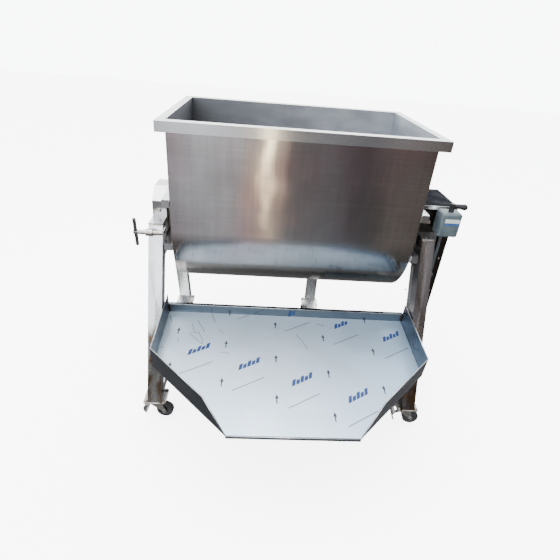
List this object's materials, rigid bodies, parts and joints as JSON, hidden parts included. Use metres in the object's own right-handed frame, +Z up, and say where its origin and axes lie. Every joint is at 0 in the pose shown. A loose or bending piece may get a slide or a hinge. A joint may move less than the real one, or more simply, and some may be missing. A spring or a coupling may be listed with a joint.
{
  "type": "horizontal mixer",
  "caption": "Tilting trough mixer on a tube stand with casters: open U-shaped tub with a bladed agitator, chain drive, lock screw, lever switch and a sloped discharge tray.",
  "frame": {"origin": "middle of the footprint's bounding box, on the floor under the casters", "axes": "+X to the machine's right along the agitator, +Y to the back, away from the tray, +Z up"},
  "size_m": [1.1757, 1.1514, 1.097],
  "materials": {
    "tub_stainless": "vertical brushed stainless sheet",
    "stand_stainless": "ground and welded stainless square tube",
    "tray_film": "stainless sheet under a pale protective film",
    "casing_stainless": "folded stainless sheet, dull",
    "machined_steel": "turned steel",
    "chain_steel": "oiled steel",
    "zinc_plate": "zinc plated pressed steel",
    "cast_housing": "painted casting",
    "motor_paint": "grey-blue machine enamel",
    "switch_paint": "grey-blue satin enamel",
    "black_plastic": "moulded black",
    "conduit": "ribbed grey conduit",
    "buffer_rubber": "moulded black rubber",
    "tyre_rubber": "worn rubber",
    "hub_plastic": "moulded nylon"
  },
  "bodies": {
    "frame": {"base_tubes": "stand_stainless", "cable_gland": "black_plastic", "casing_lid": "casing_stainless", "caster_plates": "zinc_plate", "column_plate": "stand_stainless", "discharge_tray": "tray_film", "drive_casing": "casing_stainless", "drive_chain": "chain_steel", "front_left_leg": "stand_stainless", "front_right_leg": "stand_stainless", "gearbox": "motor_paint", "left_bearing": "cast_housing", "left_bearing_cover": "casing_stainless", "left_side_rail": "stand_stainless", "lock_nut": "machined_steel", "motor": "motor_paint", "motor_base": "stand_stainless", "rear_left_leg": "stand_stainless", "rest_buffer": "buffer_rubber", "rest_post": "stand_stainless", "right_bearing": "cast_housing", "right_side_rail": "stand_stainless", "switch_box": "switch_paint", "switch_conduit": "conduit", "top_plates": "stand_stainless", "tray_bearers": "stand_stainless"},
    "tub": {"trough_sheet": "tub_stainless", "left_end_plate": "tub_stainless", "right_end_plate": "tub_stainless", "rim_frame": "tub_stainless", "end_bars": "tub_stainless", "left_trunnion": "machined_steel", "right_trunnion": "machined_steel", "shaft_seals": "machined_steel", "transfer_chain": "chain_steel"},
    "agitator": {"agitator_shaft": "machined_steel", "agitator_paddles": "machined_steel", "agitator_sprocket": "machined_steel"},
    "drive_line": {"drive_shaft": "machined_steel", "driven_sprocket": "machined_steel", "transfer_sprocket": "machined_steel"},
    "motor_output": {"motor_sprocket": "machined_steel"},
    "lock_rod": {"lock_screw": "machined_steel"},
    "lock_tee": {"tee_handle": "machined_steel"},
    "lever": {"switch_lever": "black_plastic"},
    "front_left_caster": {"front_left_fork": "zinc_plate"},
    "front_left_wheel": {"front_left_tyre": "tyre_rubber", "front_left_wheel_hub": "hub_plastic"},
    "front_left_pedal": {"front_left_brake_pedal": "zinc_plate"},
    "front_right_caster": {"front_right_fork": "zinc_plate"},
    "front_right_wheel": {"front_right_tyre": "tyre_rubber", "front_right_wheel_hub": "hub_plastic"},
    "front_right_pedal": {"front_right_brake_pedal": "zinc_plate"},
    "rear_left_caster": {"rear_left_fork": "zinc_plate"},
    "rear_left_wheel": {"rear_left_tyre": "tyre_rubber", "rear_left_wheel_hub": "hub_plastic"},
    "rear_middle_caster": {"rear_middle_fork": "zinc_plate"},
    "rear_middle_wheel": {"rear_middle_tyre": "tyre_rubber", "rear_middle_wheel_hub": "hub_plastic"}
  },
  "joints": [
    {"name": "front_left_swivel", "type": "hinge", "parent": "frame", "child": "front_left_caster", "pos_m": [-0.51685, -0.20832, 0.0787], "axis": [0, 0, 1], "continuous": true},
    {"name": "front_left_wheel_spin", "type": "hinge", "parent": "front_left_caster", "child": "front_left_wheel", "pos_m": [-0.48498, -0.21111, 0.0325], "axis": [0.0872, 0.9962, 0], "continuous": true},
    {"name": "front_left_pedal_hinge", "type": "hinge", "parent": "front_left_caster", "child": "front_left_pedal", "pos_m": [-0.52896, -0.20726, 0.0707], "axis": [0.0872, 0.9962, 0], "range_deg": [-10, 0]},
    {"name": "front_right_swivel", "type": "hinge", "parent": "frame", "child": "front_right_caster", "pos_m": [0.47915, -0.20832, 0.0787], "axis": [0, 0, 1], "continuous": true},
    {"name": "front_right_wheel_spin", "type": "hinge", "parent": "front_right_caster", "child": "front_right_wheel", "pos_m": [0.51102, -0.21111, 0.0325], "axis": [0.0872, 0.9962, 0], "continuous": true},
    {"name": "front_right_pedal_hinge", "type": "hinge", "parent": "front_right_caster", "child": "front_right_pedal", "pos_m": [0.46704, -0.20726, 0.0707], "axis": [0.0872, 0.9962, 0], "range_deg": [-10, 0]},
    {"name": "rear_left_swivel", "type": "hinge", "parent": "frame", "child": "rear_left_caster", "pos_m": [-0.51685, 0.48618, 0.0787], "axis": [0, 0, 1], "continuous": true},
    {"name": "rear_left_wheel_spin", "type": "hinge", "parent": "rear_left_caster", "child": "rear_left_wheel", "pos_m": [-0.53038, 0.51518, 0.0325], "axis": [-0.9063, -0.4226, 0], "continuous": true},
    {"name": "rear_middle_swivel", "type": "hinge", "parent": "frame", "child": "rear_middle_caster", "pos_m": [0.15115, 0.51318, 0.0787], "axis": [0, 0, 1], "continuous": true},
    {"name": "rear_middle_wheel_spin", "type": "hinge", "parent": "rear_middle_caster", "child": "rear_middle_wheel", "pos_m": [0.13762, 0.54218, 0.0325], "axis": [-0.9063, -0.4226, 0], "continuous": true},
    {"name": "tub_tilt", "type": "hinge", "parent": "frame", "child": "tub", "pos_m": [-0.01885, 0.15618, 0.788], "axis": [1, 0, 0], "range_deg": [0, 100]},
    {"name": "agitator_spin", "type": "hinge", "parent": "tub", "child": "agitator", "pos_m": [-0.01885, 0.23918, 0.716], "axis": [1, 0, 0], "continuous": true},
    {"name": "drive_shaft_spin", "type": "hinge", "parent": "frame", "child": "drive_line", "pos_m": [-0.01885, 0.15618, 0.788], "axis": [1, 0, 0], "continuous": true},
    {"name": "motor_output_spin", "type": "hinge", "parent": "frame", "child": "motor_output", "pos_m": [-0.01885, 0.08418, 0.213], "axis": [1, 0, 0], "continuous": true},
    {"name": "lock_screw_slide", "type": "slide", "parent": "frame", "child": "lock_rod", "axis": [-1, 0, 0], "range_m": [0, 0.012]},
    {"name": "tee_turn", "type": "hinge", "parent": "lock_rod", "child": "lock_tee", "pos_m": [-0.58085, -0.03682, 0.714], "axis": [-1, 0, 0], "range_deg": [0, 1080]},
    {"name": "switch_lever_turn", "type": "hinge", "parent": "frame", "child": "lever", "pos_m": [0.53765, 0.00338, 0.844], "axis": [0, 0, 1], "range_deg": [-45, 45]}
  ],
  "couplings": [
    {"joint": "drive_shaft_spin", "follows": "agitator_spin", "ratio": 1.9091},
    {"joint": "motor_output_spin", "follows": "agitator_spin", "ratio": 3.2975},
    {"joint": "lock_screw_slide", "follows": "tee_turn", "m_per_rad": 0.00063662}
  ]
}
